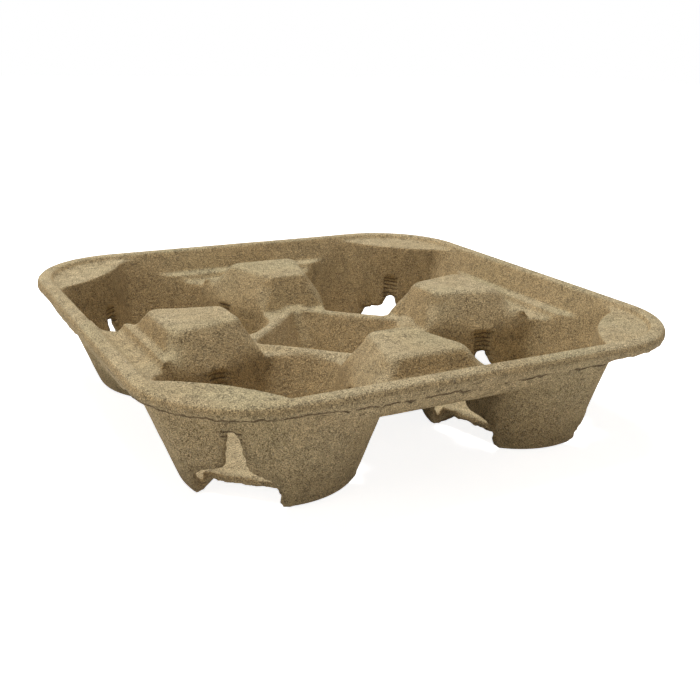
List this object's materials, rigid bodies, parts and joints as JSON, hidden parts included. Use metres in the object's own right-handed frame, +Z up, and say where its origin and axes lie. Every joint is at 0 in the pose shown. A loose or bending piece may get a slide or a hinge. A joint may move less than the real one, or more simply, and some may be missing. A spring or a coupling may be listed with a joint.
{
  "type": "moulded pulp cup carrier tray",
  "caption": "Square moulded pulp tray with round cup pockets between raised towers, a centre well, slotted pocket walls on hollow feet, and a thick rolled rim.",
  "frame": {"origin": "middle of the ground that the tray stands on", "axes": "+Z up out of the cup pockets, X and Y along the tray's sides"},
  "size_m": [0.216, 0.216, 0.048],
  "materials": {
    "pulp": "matt recycled kraft pulp with fine fibre flecks"
  },
  "bodies": {
    "root": {"cup_carrier": "pulp"}
  },
  "joints": []
}
